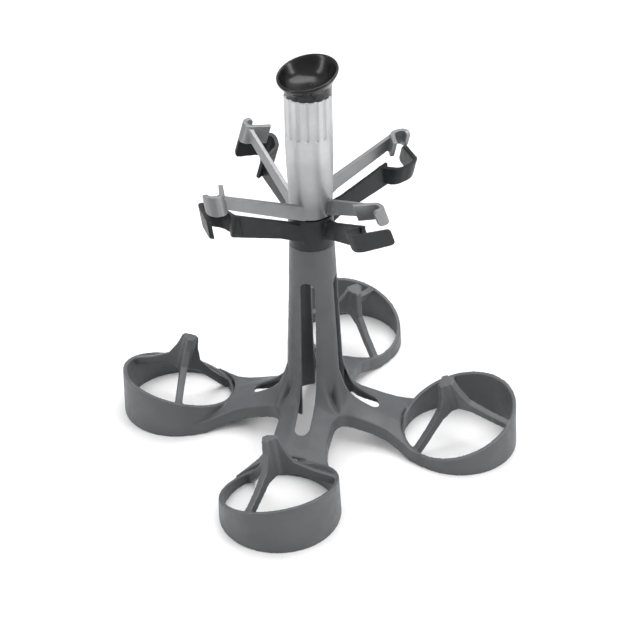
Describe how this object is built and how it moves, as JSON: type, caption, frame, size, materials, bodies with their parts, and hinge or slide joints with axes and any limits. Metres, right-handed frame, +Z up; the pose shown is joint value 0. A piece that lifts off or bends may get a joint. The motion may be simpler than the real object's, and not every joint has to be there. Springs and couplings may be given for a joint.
{
  "type": "stemware dishwasher rack",
  "caption": "Free-standing rack that holds upturned, leaning stem glasses over ring-shaped feet, with hooked arms that grip their stems and a turning head.",
  "frame": {"origin": "centre of the base, on the plane that the four rings stand on", "axes": "+Z up along the column, +X along leg 1; legs 2 to 4 follow counter-clockwise seen from above"},
  "size_m": [0.3016, 0.3016, 0.2907],
  "materials": {
    "base_plastic": "matte, fine moulded grain",
    "arm_plastic": "matte, fine moulded grain",
    "grip_plastic": "satin silver-grey",
    "cup_gloss": "gloss",
    "bush_plastic": "smooth",
    "spindle_steel": "turned"
  },
  "bodies": {
    "base": {"base_column": "base_plastic", "leg_1": "base_plastic", "leg_2": "base_plastic", "leg_3": "base_plastic", "leg_4": "base_plastic", "ring_1": "base_plastic", "ring_2": "base_plastic", "ring_3": "base_plastic", "ring_4": "base_plastic", "tripod_1": "base_plastic", "tripod_2": "base_plastic", "tripod_3": "base_plastic", "tripod_4": "base_plastic", "lower_hub": "arm_plastic", "lower_arm_1": "arm_plastic", "lower_arm_2": "arm_plastic", "lower_arm_3": "arm_plastic", "lower_arm_4": "arm_plastic", "lower_hook_1": "arm_plastic", "lower_hook_2": "arm_plastic", "lower_hook_3": "arm_plastic", "lower_hook_4": "arm_plastic", "spindle": "spindle_steel", "retaining_ring": "spindle_steel"},
    "head": {"grip_tube": "grip_plastic", "upper_arm_1": "grip_plastic", "upper_arm_2": "grip_plastic", "upper_arm_3": "grip_plastic", "upper_arm_4": "grip_plastic", "upper_clip_1": "grip_plastic", "upper_clip_2": "grip_plastic", "upper_clip_3": "grip_plastic", "upper_clip_4": "grip_plastic", "bush_low": "bush_plastic", "bush_high": "bush_plastic", "stop_pin": "spindle_steel", "top_cup": "cup_gloss"}
  },
  "joints": [
    {"name": "head_turn", "type": "hinge", "parent": "base", "child": "head", "pos_m": [0, 0, 0.1822], "axis": [0, 0, 1], "range_deg": [0, 25]}
  ]
}
